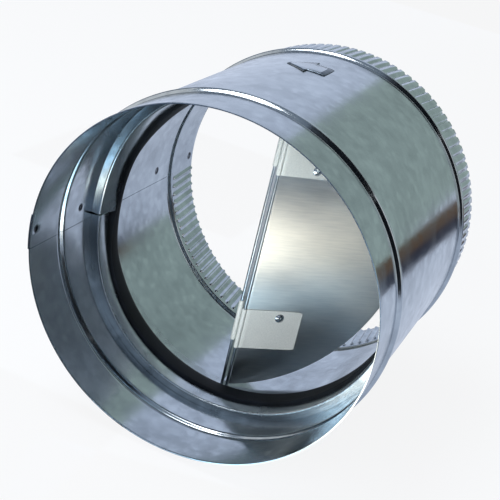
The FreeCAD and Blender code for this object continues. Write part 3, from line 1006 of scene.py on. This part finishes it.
arrow_top = arrow_points()
arrow_under = arrow_top.copy()
arrow_under[..., 1:] *= (OUTSIDE - 0.2) / np.linalg.norm(arrow_top[..., 1:], axis=-1)[..., None]
arrow_grid = np.concatenate([arrow_top, arrow_under[:, ::-1]], 1)
arrow_piece = make_sleeve("stamped_flow_arrow", arrow_grid, sharp=70)
arrow_piece.data.materials.append(galvanised_steel)
arrow_piece.data.materials.append(painted_shade_zinc)
rows, count = arrow_grid.shape[:2]
# Faces marked 1 take the dark zinc: painted shade on the arrow's sloping edges and ends.
slopes = np.zeros((rows - 1, count), int)
slopes[:, [0, count // 2 - 2]] = 1
slopes[:2] = slopes[-2:] = 1
arrow_piece.data.polygons.foreach_set("material_index", np.append(slopes.ravel(), [1, 1]))
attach(arrow_piece, "casing_body")
print(arrow_piece.name, len(arrow_piece.data.polygons), "faces")

# %% [markdown]
# ## Floor, cards, world and lamps
# The floor is plain and pale. To the camera and in reflections the world is white, while the light
# that it sheds is softer. Bright metal shows what stands round it, and in an all-white studio it
# would look like plaster. So cards stand round the object, as a photographer would place them.
# Behind it a pale, a slate and a grey-green one colour the outside of the barrel, and two small
# ones, brown and navy, draw the narrow band along its side. Above it a grey and a dark one do the
# same for the top. In front a dark and a pale one, one above the other, give the folded ring its
# dark web and pale crest. Strips lie on the table: slate and dark ones calm the mirror image of
# the floor, the dark one behind the outlet is painted shadow, the duct's shadow on the table as
# the inside of the inlet collar mirrors it, and bright ones before the inlet give the blade its ivory
# and blue glow.
# The camera doesn't see the cards, they cast no shadow, and they glow only towards the object.

# %% The floor and the cards
LOWEST = cad_box[0][2]
FLOOR_GAP = 0.0002
MIDDLE = np.array([0.075, 0.0, 0.0])


def flat_card(name, centre, across, up, colour, glow=0.0):
    """A four-cornered card: centre plus and minus two half-side vectors, in metres.

    Its front is turned to the object, and only the front glows, so no strip lights the floor.
    """
    centre, across, up = (np.array(vector, float) for vector in (centre, across, up))
    if np.cross(across, up) @ (MIDDLE - centre) < 0:
        up = -up
    corners = [centre - across - up, centre + across - up, centre + across + up, centre - across + up]
    mesh = bpy.data.meshes.new(name)
    mesh.from_pydata([corner.tolist() for corner in corners], [], [(0, 1, 2, 3)])
    card = bpy.data.objects.new(name, mesh)
    bpy.context.scene.collection.objects.link(card)
    material, tree = new_material(name + "_paint")
    base = linear("#000000" if glow else colour)
    shader = add_node(tree, "ShaderNodeBsdfPrincipled", Base_Color=base, Roughness=0.9)
    if glow:
        side = add_node(tree, "ShaderNodeNewGeometry").outputs["Backfacing"]
        shader.inputs["Emission Color"].default_value = linear(colour)
        front_glow = math_node(tree, "MULTIPLY_ADD", side, -glow, glow)
        tree.links.new(front_glow, shader.inputs["Emission Strength"])
    finish_material(tree, shader)
    mesh.materials.append(material)
    return card


floor = flat_card("pale_floor", (0, 0, LOWEST - FLOOR_GAP), (6, 0, 0), (0, 6, 0), "#c8d2e0")
floor_tree = floor.data.materials[0].node_tree
shown = next(node for node in floor_tree.nodes if node.type == "BSDF_PRINCIPLED")
output = next(node for node in floor_tree.nodes if node.type == "OUTPUT_MATERIAL")
ray = add_node(floor_tree, "ShaderNodeLightPath")
for socket, colour, share in (("Is Glossy Ray", "#dfe8fb", 0.8), ("Is Camera Ray", "#ffffff", 0.88)):
    shine = add_node(floor_tree, "ShaderNodeEmission", Color=linear(colour), Strength=1.0)
    seen = math_node(floor_tree, "MULTIPLY", ray.outputs[socket], share)
    shown = add_node(
        floor_tree, "ShaderNodeMixShader", Fac=seen, _1=shown.outputs[0], _2=shine.outputs[0]
    )
floor_tree.links.new(shown.outputs[0], output.inputs["Surface"])
print("floor at", round(LOWEST, 5), "m")

# %% The cards' places, half sides, colours and glow
ON_TABLE = LOWEST + 0.0005
ON_STRIP = ON_TABLE + 0.001
ON_TOP = ON_STRIP + 0.001
BAND_SIDE, BAND_UP = (0.0987, 0.016, -0.0172), (0, 0, 0.011)
CARDS = (
    ("blue_card", (1.1, 0.39, 0.5), (0, 0.33, 0), (0, 0, 0.58), "#dfeaff", 1.0),
    ("slate_card", (1.1, 1.22, 0.5), (0, 0.5, 0), (0, 0, 0.58), "#4c6076", 1.0),
    ("grey_green_card", (1.1, -0.7, 0.5), (0, 0.76, 0), (0, 0, 0.54), "#b0c2bd", 0.95),
    ("grey_ceiling_card", (-0.2, 0.5, 1.1), (1.2, 0, 0), (0, 0.64, 0), "#9aa9bb", 0.8),
    ("dark_ceiling_card", (-0.2, -0.67, 1.1), (1.2, 0, 0), (0, 0.53, 0), "#14181d", 0.0),
    ("dark_side_card", (-0.4, -1.2, 0.5), (0.8, 0, 0), (0, 0, 0.58), "#0c1016", 0.0),
    ("dark_front_card", (-1.35, 0.0, 0.17), (0, 1.2, 0), (0, 0, 0.25), "#2c3747", 1.0),
    ("pale_front_card", (-1.35, 0.0, 0.76), (0, 1.2, 0), (0, 0, 0.33), "#b8c6d6", 1.0),
    ("slate_far_strip", (-0.5, 0.1, ON_TABLE), (0.27, 0, 0), (0, 0.85, 0), "#5a6a80", 0.0),
    ("pale_far_strip", (-0.33, -0.2, ON_STRIP), (0.12, 0.03, 0), (0.06, -0.2, 0), "#a3c0dc", 1.8),
    ("dark_near_strip", (-0.175, -0.13, ON_TOP), (0.04, 0.012, 0), (0.05, -0.17, 0), "#1a212b", 0.0),
    ("ivory_strip", (-0.085, -0.09, ON_TABLE), (0.036, 0.012, 0), (0.04, -0.1, 0), "#fefaea", 6.5),
    ("blue_near_strip", (-0.022, -0.035, ON_TABLE), (0.02, 0.006, 0), (0.02, -0.075, 0), "#a6c2d2", 7.0),
    ("dark_left_strip", (-0.11, 0.47, ON_TABLE), (0.12, 0, 0), (0, 0.45, 0), "#222c3a", 0.0),
    # Painted shadow: the duct's shadow on the table behind the outlet, as the inside of the inlet collar
    # mirrors it.
    ("painted_shadow_rear_strip", (0.31, 0.15, ON_TABLE), (0.08, 0, 0), (0, 0.08, 0), "#3a4757", 0.0),
    ("brown_card", (0.282, -0.149, 0.0035), BAND_SIDE, BAND_UP, "#5f4832", 1.0),
    ("navy_card", (0.282, -0.149, -0.0185), BAND_SIDE, BAND_UP, "#161c33", 1.0),
)
for card_settings in CARDS:
    card = flat_card(*card_settings)
    card.visible_camera = False
    card.visible_shadow = False
print(len(CARDS), "cards")

# %% The world
WORLD_LIGHT = 0.55
world = bpy.data.worlds.new("studio")
bpy.context.scene.world = world
world.use_nodes = True
sky = world.node_tree
sky.nodes.clear()
ray = add_node(sky, "ShaderNodeLightPath")
seen = math_node(sky, "MAXIMUM", ray.outputs["Is Camera Ray"], ray.outputs["Is Glossy Ray"])
seen = math_node(sky, "MAXIMUM", seen, ray.outputs["Is Transmission Ray"])
shed = add_node(sky, "ShaderNodeBackground", Color=(1, 1, 1, 1), Strength=WORLD_LIGHT)
plain = add_node(sky, "ShaderNodeBackground", Color=(1, 1, 1, 1), Strength=1.0)
pick = add_node(sky, "ShaderNodeMixShader", Fac=seen, _1=shed.outputs[0], _2=plain.outputs[0])
end = sky.nodes.new("ShaderNodeOutputWorld")
sky.links.new(pick.outputs[0], end.inputs["Surface"])
print("the world sheds", WORLD_LIGHT, "and shows", plain.inputs["Strength"].default_value)

# %% [markdown]
# Lamps and cameras both look along their own -z axis, so one function turns either: its z axis
# points back, its x axis is square to that and to the upright direction, and y completes them.
# The key lamp stands high on the left. The fill lamp stands low in front, and only its light
# counts: a bright square on the ring's web would look like a lamp, so reflections leave it out.

# %% Soft lamps
def stand(thing, place_at, forward, upright):
    """Puts a lamp or camera at a place, looking forward, with the upright direction up."""
    back = -np.array(forward, float)
    back /= np.linalg.norm(back)
    right = np.cross(upright, back)
    right /= np.linalg.norm(right)
    matrix = np.eye(4)
    matrix[:3, :3] = np.stack([right, np.cross(back, right), back], -1)
    matrix[:3, 3] = place_at
    thing.matrix_world = Matrix(matrix.tolist())
    bpy.context.scene.collection.objects.link(thing)


def soft_lamp(name, place_at, size, power):
    """A square area lamp of a size in metres and a power in watts, aimed at the object's middle."""
    light = bpy.data.lights.new(name, "AREA")
    light.size = size
    light.energy = power
    lamp = bpy.data.objects.new(name, light)
    stand(lamp, place_at, MIDDLE - place_at, (0, 0, 1))
    return lamp


key_lamp = soft_lamp("key_lamp", (-0.1, 0.42, 0.95), 0.5, 8)
fill_lamp = soft_lamp("fill_lamp", (-0.8, 0.1, 0.35), 0.6, 7)
fill_lamp.visible_glossy = False
print("lamps:", key_lamp.name, "and", fill_lamp.name)

# %% [markdown]
# ## The camera
# The camera stands where the photograph was taken from, worked out from the ellipses of the rim,
# the beads and the outlet end. Its three axes are given in the object's frame.

# %% The camera
CAMERA_PLACE = np.array([-0.392508, -0.146774, 0.206373])
CAMERA_FORWARD = np.array([0.87084, 0.28452, -0.40087])
CAMERA_DOWN = np.array([-0.29685, -0.34562, -0.89018])
FOCAL_SHARE = 1177.17 / 500
SENSOR = 36.0

camera_data = bpy.data.cameras.new("camera")
camera_data.sensor_width = SENSOR
camera_data.lens = FOCAL_SHARE * SENSOR
camera_data.clip_start = 0.01
camera = bpy.data.objects.new("camera", camera_data)
stand(camera, CAMERA_PLACE, CAMERA_FORWARD, -CAMERA_DOWN)
bpy.context.scene.camera = camera
bpy.context.scene.view_settings.view_transform = "Standard"
print("lens", round(camera_data.lens, 2), "mm")
